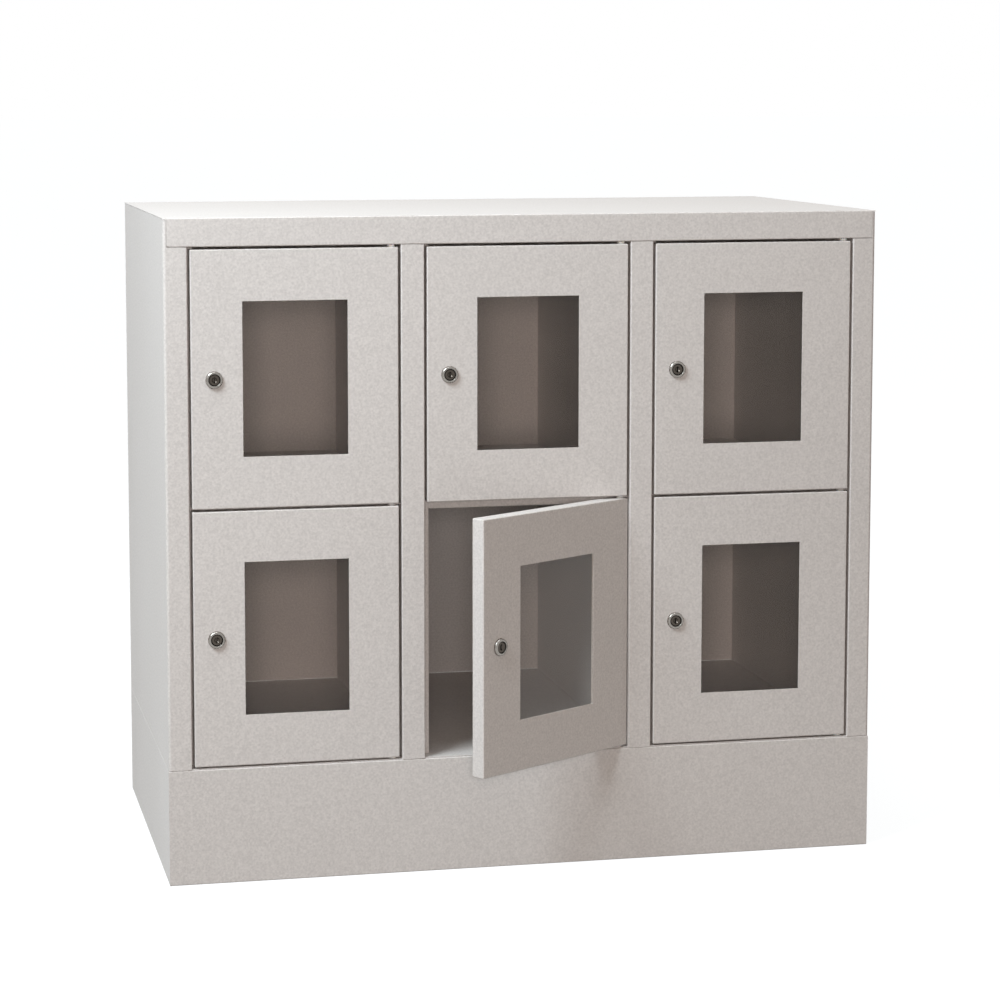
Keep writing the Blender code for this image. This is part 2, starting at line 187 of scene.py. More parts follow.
# %% [markdown]
# ## Finishes
#
# Six finishes make up the whole locker. Each starts from what the real one is and how its
# surface was made, and all its patterns are sized in real millimetres on Object coordinates, so
# they look the same on every piece.

# %% Colours and nodes


def linear(code):
    """Linear colour of an sRGB hex value, as the shader sockets want it."""
    levels = [int(code[place:place + 2], 16) / 255 for place in (1, 3, 5)]
    return [*((level / 12.92 if level <= 0.04045 else ((level + 0.055) / 1.055) ** 2.4)
              for level in levels), 1.0]


def add_node(tree, kind, inputs=None, **settings):
    """Adds a node, sets its properties, and sets or links its inputs by identifier."""
    node = tree.nodes.new(kind)
    for setting, value in settings.items():
        setattr(node, setting, value)
    sockets = {socket.identifier: socket for socket in node.inputs}
    for name, value in (inputs or {}).items():
        if isinstance(value, bpy.types.NodeSocket):
            tree.links.new(value, sockets[name])
        else:
            sockets[name].default_value = value
    return node


def new_material(name):
    """An empty material, and its node tree."""
    material = bpy.data.materials.new(name)
    material.use_nodes = True
    material.node_tree.nodes.clear()
    return material, material.node_tree


finishes = {}

# %% [markdown]
# ### Powder-coated steel
#
# Polyester powder is sprayed on dry and melted in an oven. The melt levels out but not quite, and
# leaves a faint orange peel with waves of about two millimetres, which breaks up the reflections
# of the lamps. The warm light grey is mottled too: grains of two to three millimetres, a little
# lighter and darker, are what gives the panels their fine speckle from a few steps away. A much
# slower noise lets the coat vary a little in colour and gloss over a panel.

# %% Powder coat

peel_size = 0.0022
grain_size = 0.0026
cloud_size = 0.35

coat, tree = new_material("powder_coated_steel")
place = add_node(tree, "ShaderNodeTexCoord").outputs["Object"]
peel = add_node(tree, "ShaderNodeTexNoise",
                {"Vector": place, "Scale": 1 / peel_size, "Detail": 2.0, "Roughness": 0.45})
grain = add_node(tree, "ShaderNodeTexNoise",
                 {"Vector": place, "Scale": 1 / grain_size, "Detail": 1.0, "Roughness": 0.5})
cloud = add_node(tree, "ShaderNodeTexNoise",
                 {"Vector": place, "Scale": 1 / cloud_size, "Detail": 3.0, "Roughness": 0.55})
both = add_node(tree, "ShaderNodeMix",
                {"Factor_Float": 0.2, "A_Float": grain.outputs["Fac"],
                 "B_Float": cloud.outputs["Fac"]})
tint = add_node(tree, "ShaderNodeMix",
                {"Factor_Float": both.outputs[0], "A_Color": linear("#B7B2AF"),
                 "B_Color": linear("#E6E1DD")}, data_type="RGBA")
gloss = add_node(tree, "ShaderNodeMapRange",
                 {"Value": cloud.outputs["Fac"], "From Min": 0.3, "From Max": 0.7,
                  "To Min": 0.40, "To Max": 0.50})
bump = add_node(tree, "ShaderNodeBump",
                {"Strength": 0.5, "Distance": 0.00012, "Height": peel.outputs["Fac"]})
shader = add_node(tree, "ShaderNodeBsdfPrincipled",
                  {"Base Color": tint.outputs[2], "Roughness": gloss.outputs["Result"],
                   "Normal": bump.outputs["Normal"], "IOR": 1.5})
add_node(tree, "ShaderNodeOutputMaterial", {"Surface": shader.outputs["BSDF"]})
finishes["powder_coated_steel"] = coat
print("Powder coat: peel", peel_size * 1000, "mm, clouds", cloud_size * 1000, "mm")

# %% [markdown]
# ### Nickel-plated zinc
#
# The lock bodies are die-cast zinc, barrel-polished and nickel-plated. That gives a warm metal,
# bright where it catches a lamp, and a little soft in its reflections because the casting under
# the plate isn't perfectly smooth. Its tint is painted shade: far darker than bright nickel, so
# the white world that it mirrors comes out mid-grey, like a darker room.

# %% Nickel plate


def plate_metal(name, pattern_size, tints, roughness, relief, fineness=0.5, squeeze=(1, 1, 1)):
    """A plated metal, whose tint, gloss and relief follow the pattern under its plate.

    relief is the bump's strength and its depth in metres. fineness is the share of the finer
    waves. squeeze is how many times narrower the pattern is along each axis.
    """
    metal, tree = new_material(name)
    place = add_node(tree, "ShaderNodeTexCoord").outputs["Object"]
    narrowed = add_node(tree, "ShaderNodeMapping", {"Vector": place, "Scale": squeeze})
    pattern = add_node(tree, "ShaderNodeTexNoise",
                       {"Vector": narrowed.outputs["Vector"], "Scale": 1 / pattern_size,
                        "Detail": 3.0, "Roughness": fineness}).outputs["Fac"]
    tint = add_node(tree, "ShaderNodeMix",
                    {"Factor_Float": pattern, "A_Color": linear(tints[0]),
                     "B_Color": linear(tints[1])}, data_type="RGBA")
    gloss = add_node(tree, "ShaderNodeMapRange",
                     {"Value": pattern, "From Min": 0.3, "From Max": 0.7,
                      "To Min": roughness[0], "To Max": roughness[1]})
    bump = add_node(tree, "ShaderNodeBump",
                    {"Strength": relief[0], "Distance": relief[1], "Height": pattern})
    shader = add_node(tree, "ShaderNodeBsdfPrincipled",
                      {"Base Color": tint.outputs[2], "Metallic": 1.0,
                       "Roughness": gloss.outputs["Result"], "Normal": bump.outputs["Normal"]})
    add_node(tree, "ShaderNodeOutputMaterial", {"Surface": shader.outputs["BSDF"]})
    finishes[name] = metal
    print(name, "with a pattern of", round(pattern_size * 1000, 2), "mm")


cast_size = 0.0015
# The tints are painted shade, far darker than bright nickel, so its mirror of the white world
# renders mid-grey.
plate_metal("nickel_plated_zinc", cast_size, tints=("#827D78", "#9C9791"),
            roughness=(0.22, 0.34), relief=(0.2, 0.00003), fineness=0.6)

# %% [markdown]
# ### Plug nickel, painted dark with shade
#
# The plugs, where the key goes in, get a much darker, rougher metal than the bodies round them.
# Its dark tint is painted shade, for the darker room that a real plug mirrors.

# %% Plug metal painted dark

plug_pattern_size = 0.0008
# The plug's tints are painted shade, far darker than the nickel of the lock body.
plate_metal("nickel_plug_painted_dark", plug_pattern_size, tints=("#3A3531", "#625B54"),
            roughness=(0.22, 0.38), relief=(0.3, 0.00004), fineness=0.65)

# %% [markdown]
# ### Zinc-plated steel
#
# The cams are punched from rolled strip and zinc-plated. The plate is thin, so the long fine
# lines of the rolling still show, and the metal is a cool, satin grey.

# %% Zinc plate

rolling_width = 0.0004
rolling_stretch = 14
plate_metal("zinc_plated_steel", rolling_width * rolling_stretch, tints=("#A9ACAE", "#C6C9CB"),
            roughness=(0.28, 0.42), relief=(0.25, 0.00003),
            squeeze=(rolling_stretch, rolling_stretch, 1))

# %% [markdown]
# ### White nylon
#
# The hinge pins are moulded nylon: clean white, faintly see-through at thin edges, with a fine
# satin skin from the mould. A little subsurface light gives it that soft edge, and so the pins
# show as white dots in the shade of the door gaps.

# %% Moulded nylon

skin_size = 0.0006

nylon, tree = new_material("white_nylon")
place = add_node(tree, "ShaderNodeTexCoord").outputs["Object"]
skin = add_node(tree, "ShaderNodeTexNoise",
                {"Vector": place, "Scale": 1 / skin_size, "Detail": 2.0})
tint = add_node(tree, "ShaderNodeMix",
                {"Factor_Float": skin.outputs["Fac"], "A_Color": linear("#F3F2EE"),
                 "B_Color": linear("#F9F9F6")}, data_type="RGBA")
bump = add_node(tree, "ShaderNodeBump",
                {"Strength": 0.2, "Distance": 0.00002, "Height": skin.outputs["Fac"]})
shader = add_node(tree, "ShaderNodeBsdfPrincipled",
                  {"Base Color": tint.outputs[2], "Roughness": 0.38, "IOR": 1.53,
                   "Subsurface Weight": 0.15, "Subsurface Scale": 0.002,
                   "Normal": bump.outputs["Normal"]})
add_node(tree, "ShaderNodeOutputMaterial", {"Surface": shader.outputs["BSDF"]})
finishes["white_nylon"] = nylon
print("Nylon: skin", skin_size * 1000, "mm")

# %% [markdown]
# ### Clear acrylic
#
# The panes are cast acrylic sheet, three millimetres thick, with a trace of warm tint, which is
# painted warm light on the compartments seen through them. Blender's refraction would stop a
# lamp's light from reaching the compartment, because shadow rays don't bend, and it would dim
# the light that bounces back out.
# So the shader turns into plain Transparent for shadow and diffuse rays, and the eye still sees
# refraction. A constant specular tint keeps the mirror image faint, as before a room that is
# darker than the white backdrop.

# %% Cast acrylic

smear_size = 0.06

acrylic, tree = new_material("clear_acrylic")
place = add_node(tree, "ShaderNodeTexCoord").outputs["Object"]
smear = add_node(tree, "ShaderNodeTexNoise",
                 {"Vector": place, "Scale": 1 / smear_size, "Detail": 4.0, "Roughness": 0.6})
gloss = add_node(tree, "ShaderNodeMapRange",
                 {"Value": smear.outputs["Fac"], "From Min": 0.4, "From Max": 0.7,
                  "To Min": 0.0, "To Max": 0.03})
# The base and transparent tints are a trace warm: painted warm light on the compartments seen
# through the pane.
shader = add_node(tree, "ShaderNodeBsdfPrincipled",
                  {"Base Color": linear("#FCFAF8"), "Roughness": gloss.outputs["Result"],
                   "IOR": 1.49, "Specular Tint": linear("#848484"), "Transmission Weight": 1.0})
ray = add_node(tree, "ShaderNodeLightPath")
clear = add_node(tree, "ShaderNodeBsdfTransparent", {"Color": linear("#FAF7F4")})
seen = add_node(tree, "ShaderNodeMixShader",
                {"Fac": ray.outputs["Is Diffuse Ray"], "Shader": shader.outputs["BSDF"],
                 "Shader_001": clear.outputs["BSDF"]})
surface = add_node(tree, "ShaderNodeMixShader",
                   {"Fac": ray.outputs["Is Shadow Ray"], "Shader": seen.outputs["Shader"],
                    "Shader_001": clear.outputs["BSDF"]})
add_node(tree, "ShaderNodeOutputMaterial", {"Surface": surface.outputs["Shader"]})
finishes["clear_acrylic"] = acrylic
print("Finishes:", ", ".join(finishes))

# %% [markdown]
# ## Giving a piece its place in the model
#
# A finished piece needs three things: its finish, the body that it moves with, and the solids
# of the CAD model that it stands for, which are then hidden.

# %% Settling a piece


def settle(piece, finish, body, *nodes, slot=None):
    """Gives a piece its finish, its body, and the solids that it stands for."""
    piece.data.materials.clear()
    piece.data.materials.append(finishes[finish])
    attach(piece, body)
    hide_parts(*nodes)
    print(piece.name, "stands for", *nodes)


for name in ("rear_panel", "floor_panel"):
    frame["nodes"][name].data.materials.clear()
    frame["nodes"][name].data.materials.append(coat)
    print(name, "keeps its CAD solid")

# %% [markdown]
# ## The folded sheets of the carcass
#
# All of the carcass is one millimetre sheet, folded on a press brake along straight lines. So
# every piece is a flat that is drawn once and extruded from fold to fold, just as the brake
# folds a blank. The folds are then bevelled round, and Solidify gives the sheet its thickness
# on the inner side, so the outer skin stays where the sizes say. The cut edges are rounded a
# little, because a coat of powder never leaves an edge sharp.

# %% Sizes of the carcass

sheet = 0.001
gap = 0.0003
skin_depth = sheet + gap
fold_radius = 0.0015
fold_segments = 4
edge_round = 0.0002
near = 0.0001

left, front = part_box("roof_panel")[0].xy
right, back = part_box("roof_panel")[1].xy
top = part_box("roof_panel")[1].z
rail_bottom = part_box("roof_panel")[0].z
plinth_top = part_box("plinth_front")[1].z
upright_width = 0.030
stop_flange = 0.009
rear_flange = 0.015
jamb_depth = 0.0215
overrun = 0.002
floor_bottom, floor_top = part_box("floor_panel")[0].z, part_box("floor_panel")[1].z
rear_panel_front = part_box("rear_panel")[0].y
door_gap = 0.0034
pin_edge = 0.008248
columns = ("left", "middle", "right")
hinges = {joint["name"]: Vector(joint["pos_m"]) for joint in frame["joints"]
          if joint["name"].endswith("_hinge")}
print("Carcass, mm:", *(round(size * 1000, 1) for size in (right - left, back - front, top)))

# %% Folding a sheet


def fold(name, outline, sweep, outer, radii=None):
    """A sheet folded along the corners of its outline, swept out to its width.

    outer is the side that the first flat looks to. radii holds the radius of any corner, by its
    place in the outline, that isn't folded as sharply as the others.
    """
    corners, sweep = [Vector(point) for point in outline], Vector(sweep)
    leg = corners[1] - corners[0]
    flat = (corners[0] + corners[1] + sweep) / 2
    turn = Matrix((sweep.normalized(), leg.normalized(), sweep.cross(leg).normalized()))
    bpy.ops.object.select_all(action="DESELECT")
    bpy.ops.mesh.primitive_plane_add(size=1, location=flat,
                                     rotation=turn.transposed().to_euler())
    piece = bpy.context.object
    piece.name = piece.data.name = name
    piece.scale = (sweep.length, leg.length, 1)
    bpy.ops.object.transform_apply(location=True, rotation=True, scale=True)
    bpy.ops.object.mode_set(mode="EDIT")
    far_edge = corners[1] + sweep / 2
    pick("EDGE", lambda edge: (middle_of(edge) - far_edge).length < near)
    for start, end in zip(corners[1:], corners[2:]):
        bpy.ops.mesh.extrude_edges_move(TRANSFORM_OT_translate={"value": end - start})
    for index, corner in enumerate(corners[1:-1], 1):
        crease = corner + sweep / 2
        pick("EDGE", lambda edge: (middle_of(edge) - crease).length < near)
        bpy.ops.mesh.bevel(offset=(radii or {}).get(index, fold_radius), segments=fold_segments,
                           affect="EDGES")
    bpy.ops.mesh.select_all(action="SELECT")
    bpy.ops.mesh.normals_make_consistent(inside=False)
    faces = bmesh.from_edit_mesh(piece.data).faces
    first = min(faces, key=lambda face: (middle_of(face) - flat).length)
    if first.normal.dot(Vector(outer)) < 0:
        bpy.ops.mesh.flip_normals()
    bpy.ops.object.mode_set(mode="OBJECT")
    thicken(piece)
    return piece


def round_edges(piece):
    """Takes the sharpness off the cut edges of a sheet."""
    apply_modifier(piece, "BEVEL", width=edge_round, segments=1, limit_method="ANGLE",
                   angle_limit=radians(60))


def thicken(piece):
    """Gives a surface the sheet's thickness on its inner side, and rounds the cut edges."""
    apply_modifier(piece, "SOLIDIFY", thickness=sheet, offset=-1, use_even_offset=True,
                   use_quality_normals=True)
    round_edges(piece)


# %% [markdown]
# ### Uprights: side panel and partitions
#
# Each upright is the left wall of a column and the frame beside its doors in one sheet: a rear
# flange, the wall, the face that shows between the doors, the jamb, and a narrow stop that the
# door closes against. At the top it is notched for the rail, and at the bottom for the floor. The
# outside corners are folded wider than the rest, which catches the light as a bright strip, and
# that fold runs on beside the rail.

# %% Notches of an upright

corner_radius = 0.0038
corner_width = 0.0045


def trim_upright(panel, wall, far, outside):
    """Clears an upright for the floor below it, and for the rail and its lip above."""
    inward = 1 if far > wall else -1
    beyond_wall, beside_wall = wall - inward * overrun, wall + inward * skin_depth
    beyond_far = far + inward * overrun
    rail, lip = rail_bottom - gap, front + jamb_depth
    cut_block(panel, (beside_wall if outside else beyond_wall, front + skin_depth,
                      floor_bottom - overrun), (beyond_far, back - skin_depth, floor_top + gap))
    if outside:
        cut_block(panel, (beyond_wall, front - overrun, top - fold_radius - gap),
                  (beyond_far, front + corner_width, top + overrun))
        beside_wall = wall + inward * corner_width
    else:
        cut_block(panel, (beyond_wall, front - overrun, rail),
                  (beyond_far, lip + gap, top + overrun))
    cut_block(panel, (beside_wall, front - overrun, rail),
              (beyond_far, lip + sheet + overrun, top + overrun))


# %% Left side panel and the two partitions

carcass_top = top - sheet - gap
rise = (0, 0, carcass_top - floor_bottom)
walls = [left, *(hinges[f"upper_{column}_hinge"].x + pin_edge + door_gap
                 for column in columns[:2])]


def upright(name, wall, rear, outside):
    """Rear flange, wall, face, jamb and door stop of one upright."""
    face_end, stop = wall + upright_width, front + jamb_depth
    outline = ((wall + rear_flange, rear), (wall, rear), (wall, front), (face_end, front),
               (face_end, stop), (face_end + stop_flange, stop))
    panel = fold(name, [(*point, floor_bottom) for point in outline], rise, (0, 1, 0),
                 {2: corner_radius} if outside else None)
    trim_upright(panel, wall, face_end + stop_flange, outside)
    return panel


uprights = [upright("left_side", walls[0], back, True),
            upright("partition_1", walls[1], rear_panel_front - gap, False),
            upright("partition_2", walls[2], rear_panel_front - gap, False)]
print("Uprights at x, mm:", [round(wall * 1000, 1) for wall in walls])

# %% Right side panel

jamb = right - upright_width
outline = ((right - rear_flange, back), (right, back), (right, front), (jamb, front),
           (jamb, front + jamb_depth))
right_side = fold("right_side", [(*point, floor_bottom) for point in outline], rise, (0, 1, 0),
                  {2: corner_radius})
trim_upright(right_side, right, jamb, True)

# %% [markdown]
# ### Pivot tabs
#
# Between the rows, a plate the size of a fingertip is welded to the upright and sticks out into
# the gap. It holds the middle hinge pin. In front it is cut back to a nose round the pin, so the
# gap stays dark beside it, and the nose's corners are rounded. Joining the plate with a Boolean
# gives the weld, and drilling afterwards gives the hole.

# %% Tabs on the three hinge sides

door_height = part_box("upper_left_door_panel")[1].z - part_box("upper_left_door_panel")[0].z
tab_middle = hinges["upper_left_hinge"].z - door_gap / 2
tab_reach = 0.0043
nose_round = 0.0015
pin_hole = 0.0028

for column, panel in zip(columns, (*uprights[1:], right_side)):
    pin = hinges[f"upper_{column}_hinge"]
    wall = pin.x + pin_edge + door_gap + sheet / 2
    tab = add_block("tab", (pin.x - tab_reach, pin.y - tab_reach, tab_middle - sheet / 2),
                    (wall, pin.y + tab_reach, tab_middle + sheet / 2))
    cut_block(tab, (pin.x + tab_reach, pin.y - tab_reach - overrun, tab_middle - sheet),
              (wall + overrun, pin.y, tab_middle + sheet))
    work_on(tab)
    bpy.ops.object.mode_set(mode="EDIT")
    pick("EDGE", lambda edge: abs(edge.verts[0].co.z - edge.verts[1].co.z) > near
         and middle_of(edge).y < pin.y - near)
    bpy.ops.mesh.bevel(offset=nose_round, segments=fold_segments, affect="EDGES")
    bpy.ops.object.mode_set(mode="OBJECT")
    combine(panel, tab, "UNION")
    drill(panel, pin_hole, (pin.x, pin.y, tab_middle - sheet), (pin.x, pin.y, tab_middle + sheet))
print("Gap between the rows, mm:", round(door_gap * 1000, 2))

# %% Finish the uprights

for panel, node in zip((*uprights, right_side), ("left_side_panel", "left_partition",
                                                 "middle_partition", "right_side_panel")):
    smooth(panel)
    settle(panel, "powder_coated_steel", "carcass", node)

# %% [markdown]
# ### Lining of the right column
#
# The right side panel stands a face's width away from the last column, so that column gets its
# own inner wall, level with the edge of the opening.

# %% Lining

wall, foot = jamb + skin_depth, floor_top + gap
outline = ((wall, front + jamb_depth / 2), (wall, rear_panel_front - gap),
           (wall + rear_flange, rear_panel_front - gap))
lining = fold("lining", [(*point, foot) for point in outline],
              (0, 0, carcass_top - foot), (-1, 0, 0))
cut_block(lining, (wall - overrun, front, rail_bottom - gap),
          (wall + rear_flange, front + jamb_depth + gap, top))
smooth(lining)
settle(lining, "powder_coated_steel", "carcass", "right_lining")

# %% [markdown]
# ### Roof with the top rail
#
# One sheet makes the roof, the rail over the doors, and a lip that runs back under it. The lip
# carries the upper hinge pins in three holes. At both ends the rail stops short of the wide
# corner folds of the side panels.

# %% Roof

pins = [hinges[f"upper_{column}_hinge"] for column in columns]
outline = ((front + jamb_depth, rail_bottom), (front, rail_bottom), (front, top), (back, top))
roof = fold("roof", [(left, *point) for point in outline], (right - left, 0, 0), (0, 0, -1))
for side, outward in ((left, -1), (right, 1)):
    cut_block(roof, (side + outward * overrun, front + skin_depth, rail_bottom - overrun),
              (side - outward * skin_depth, front + jamb_depth + sheet, carcass_top))
    cut_block(roof, (side + outward * overrun, front - overrun, rail_bottom - overrun),
              (side - outward * (corner_width + gap), front + corner_width + gap,
               top - fold_radius))
for pin in pins:
    drill(roof, pin_hole, (pin.x, pin.y, rail_bottom - overrun),
          (pin.x, pin.y, rail_bottom + overrun))
smooth(roof)
settle(roof, "powder_coated_steel", "carcass", "roof_panel")

# %% [markdown]
# ### Shelves
#
# A shelf is the floor of an upper compartment. Its front is folded down, which stiffens it and
# shows as a strip over the open door, and its rear is folded down against the back.

# %% Shelves

shelf_fold = 0.017
shelf_lip = 0.010

for column in columns:
    low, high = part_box(f"{column}_shelf")
    fold_bottom = high.z - shelf_fold
    outline = ((low.y + shelf_lip, fold_bottom), (low.y, fold_bottom), (low.y, high.z),
               (high.y, high.z), (high.y, high.z - rear_flange))
    shelf = fold(f"shelf_{column}", [(low.x, *point) for point in outline],
                 (high.x - low.x, 0, 0), (0, 0, -1))
    smooth(shelf)
    settle(shelf, "powder_coated_steel", "carcass", f"{column}_shelf")
    print("Shelf", column, "mm:", *(round(side * 1000, 1) for side in high - low))

# %% [markdown]
# ### Plinth
#
# Four strips stand under the locker, each with a flange at the top and a foot at the bottom. The
# front and rear strips run full width, and the side strips fit between them.

# %% Plinth

flange = 0.030
steps = ((flange, plinth_top), (0, plinth_top), (0, 0), (flange, 0))
for name, y, inward in (("front", front, 1), ("rear", back, -1)):
    strip = fold(f"plinth_{name}_strip", [(left, y + inward * reach, z) for reach, z in steps],
                 (right - left, 0, 0), (0, 0, 1))
    for side, outward in ((left, -1), (right, 1)):
        cut_block(strip, (side + outward * overrun, y + inward * skin_depth, -overrun),
                  (side - outward * skin_depth, y + inward * (flange + overrun),
                   plinth_top + overrun))
    if name == "front":
        for pin in pins:
            drill(strip, pin_hole, (pin.x, pin.y, plinth_top - overrun),
                  (pin.x, pin.y, plinth_top + overrun))
    smooth(strip)
    settle(strip, "powder_coated_steel", "carcass", f"plinth_{name}")

for name, x, inward in (("left", left, 1), ("right", right, -1)):
    strip = fold(f"plinth_{name}_strip",
                 [(x + inward * reach, front + skin_depth, z) for reach, z in steps],
                 (0, back - front - 2 * skin_depth, 0), (0, 0, 1))
    for end, y_inward in ((front, 1), (back, -1)):
        cut_block(strip, (x + inward * skin_depth, end, -overrun),
                  (x + inward * (flange + overrun), end + y_inward * (flange + gap),
                   plinth_top + overrun))
    smooth(strip)
    settle(strip, "powder_coated_steel", "carcass", f"plinth_{name}")

# %% [markdown]
# ## The doors
#
# All six doors are the same, so each of their pieces is modelled once, closed, with the hinge
# axis on the origin. A copy with its own mesh is then turned and moved to each hinge.

# %% Sizes of a door

door_width = 0.2632
door_thickness = 0.020
door_lip = 0.012
window_border = 0.065
pin_front = 0.0075
face, free_edge = -pin_front, pin_edge - door_width

# %% Keeping the first of each piece

masters = {}


def keep_master(kind, piece, finish):
    """Keeps a piece of the closed door, to be copied to all six, and prints its size."""
    masters[kind] = (piece, finish)
    print(kind, "mm:", *(round(side * 1000, 1) for side in piece.dimensions))


# %% [markdown]
# ### Door panel
#
# A shallow tray folded on all four sides, with a lip round the back and a window cut in its
# front. It starts as a block: all its edges are rounded like folds, the window is inset in the
# front face and the opening of the tray in the back face, and both are deleted. Solidify then
# turns the skin into sheet.

# %% Door tray

tray = add_block("door_panel", (free_edge, face, 0), (pin_edge, face + door_thickness, door_height))
bpy.ops.object.mode_set(mode="EDIT")
bpy.ops.mesh.select_all(action="SELECT")
bpy.ops.mesh.bevel(offset=fold_radius, segments=fold_segments, affect="EDGES")
straight_on, large_area = 0.99, 0.01
for direction, border in ((-1, window_border), (1, door_lip)):
    pick("FACE", lambda flat: flat.normal.y * direction > straight_on
         and flat.calc_area() > large_area)
    bpy.ops.mesh.inset(thickness=border - fold_radius, use_even_offset=True)
    bpy.ops.mesh.delete(type="FACE")
bpy.ops.object.mode_set(mode="OBJECT")
thicken(tray)

# %% Holes for the pins and the lock

lock_edge = 0.029
barrel_radius = 0.009
lock_x = free_edge + lock_edge
for low in (0, door_height):
    drill(tray, pin_hole, (0, 0, low - overrun), (0, 0, low + overrun))
drill(tray, barrel_radius + gap, (lock_x, face - overrun, door_height / 2),
      (lock_x, face + overrun, door_height / 2), vertices=64)
smooth(tray)
keep_master("door_panel", tray, "powder_coated_steel")

# %% [markdown]
# ### Window pane and its frame
#
# The pane lies behind the door sheet and is larger than the window all round. A stepped frame
# holds it there: one flange on the door, a riser as deep as the pane, and one flange on the
# pane. The frame is a plane that is inset, pulled back and inset again, then bent round at the
# folds.

# %% Pane

pane_thickness = 0.003
pane_overlap = 0.008
polish = 0.0004
pane_face = face + skin_depth
pane = add_block("window_pane", (free_edge + window_border - pane_overlap, pane_face,
                                 window_border - pane_overlap),
                 (pin_edge - window_border + pane_overlap, pane_face + pane_thickness,
                  door_height - window_border + pane_overlap))
apply_modifier(pane, "BEVEL", width=polish, segments=2)
smooth(pane)
keep_master("window_pane", pane, "clear_acrylic")

# %% Frame behind the pane

retainer_flange = 0.008
retainer_setback = 0.001
retainer_fold = 0.0012
riser = pane_overlap + gap + sheet
reach = riser + retainer_flange
on_door = pane_face + sheet
bpy.ops.object.select_all(action="DESELECT")
bpy.ops.mesh.primitive_plane_add(
    size=1, location=((free_edge + pin_edge) / 2, on_door, door_height / 2),
    rotation=(-pi / 2, 0, 0))
retainer = bpy.context.object
retainer.name = retainer.data.name = "window_retainer"
retainer.scale = (door_width - 2 * (window_border - reach),
                  door_height - 2 * (window_border - reach), 1)
bpy.ops.object.transform_apply(location=True, rotation=True, scale=True)
bpy.ops.object.mode_set(mode="EDIT")
bpy.ops.mesh.select_all(action="SELECT")
bpy.ops.mesh.inset(thickness=retainer_flange, use_even_offset=True)
bpy.ops.mesh.extrude_region_move(
    TRANSFORM_OT_translate={"value": (0, pane_thickness + gap, 0)})
bpy.ops.mesh.inset(thickness=riser - retainer_setback, use_even_offset=True)
bpy.ops.mesh.delete(type="FACE")
sharp_bend = 1.0
pick("EDGE", lambda edge: len(edge.link_faces) == 2 and edge.calc_face_angle() > sharp_bend
     and abs(edge.verts[0].co.y - edge.verts[1].co.y) < near)
bpy.ops.mesh.bevel(offset=retainer_fold, segments=3, affect="EDGES")
bpy.ops.mesh.select_all(action="SELECT")
bpy.ops.mesh.normals_make_consistent(inside=False)
faces = bmesh.from_edit_mesh(retainer.data).faces
if sum(flat.normal.y * flat.calc_area() for flat in faces) < 0:
    bpy.ops.mesh.flip_normals()
bpy.ops.object.mode_set(mode="OBJECT")
thicken(retainer)
smooth(retainer)
keep_master("window_retainer", retainer, "powder_coated_steel")

# %% [markdown]
# ## The cam lock
#
# A cam lock is a turned and cast body through the door, a nut behind the sheet, a plug with the
# key slot, and a flat cam on the end of the plug with its screw. Its round pieces are drawn as
# half a section, point by point, and spun. They are modelled about the Z axis with the door's
# front face at height zero and Z pointing inward, then turned into the door.

# %% Spinning a profile

turned_angle = 35


def spin_profile(name, profile, rounds=(), vertices=64):
    """A piece drawn as (radius, height) points and spun round Z.

    rounds holds (radius, height, size) of the profile's corners that get rounded.
    """
    bpy.ops.object.select_all(action="DESELECT")
    bpy.ops.mesh.primitive_plane_add(size=sheet)
    piece = bpy.context.object
    piece.name = piece.data.name = name
    bpy.ops.object.mode_set(mode="EDIT")
    bpy.ops.mesh.select_mode(type="VERT")
    bpy.ops.mesh.select_all(action="SELECT")
    bpy.ops.mesh.merge(type="CENTER")
    radius, height = profile[0]
    bpy.ops.transform.translate(value=(radius, 0, height))
    for (radius, height), (next_radius, next_height) in zip(profile, profile[1:]):
        bpy.ops.mesh.extrude_vertices_move(TRANSFORM_OT_translate={
            "value": (next_radius - radius, 0, next_height - height)})
    for radius, height, size in rounds:
        corner = Vector((radius, 0, height))
        pick("VERT", lambda point: (point.co - corner).length < near)
        bpy.ops.mesh.bevel(offset=size, segments=5, affect="VERTICES")
    bpy.ops.mesh.select_all(action="SELECT")
    bpy.ops.mesh.spin(steps=vertices, angle=2 * pi, center=(0, 0, 0), axis=(0, 0, 1),
                      use_auto_merge=True)
    bpy.ops.mesh.select_all(action="SELECT")
    bpy.ops.mesh.remove_doubles(threshold=near / 10)
    bpy.ops.mesh.normals_make_consistent(inside=False)
    bpy.ops.object.mode_set(mode="OBJECT")
    return piece


# %% [markdown]
# ### Lock body
#
# In front it is a domed collar that stands four millimetres proud of the door. Its outer shoulder
# is a wide round, which catches the lamp as a crescent. Inside the rim it falls steeply to the
# plug, so the plug sits in a narrow dark groove.

# %% Body with its collar

collar_radius = 0.011
collar_height = 0.004
body_end = 0.0237
bore = 0.0068
rim_radius = 0.0077
groove_depth = 0.003
shoulder_round, rim_round, end_round = 0.0028, 0.0003, 0.0004
profile = ((bore, body_end), (barrel_radius, body_end), (barrel_radius, -gap),
           (collar_radius, -gap), (collar_radius, -collar_height), (rim_radius, -collar_height),
           (bore, groove_depth - collar_height), (bore, body_end))
rounds = ((collar_radius, -collar_height, shoulder_round),
          (rim_radius, -collar_height, rim_round), (barrel_radius, body_end, end_round))
body = spin_profile("lock_body", profile, rounds)
smooth(body, turned_angle)
keep_master("lock_body", body, "nickel_plated_zinc")

# %% [markdown]
# ### Nut
#
# A hexagon nut clamps the body from behind. It starts as a six-sided cylinder, its corners are
# chamfered at both ends, and it is drilled a touch tighter than the barrel, so the thread needs
# no gap.

# %% Hexagon nut

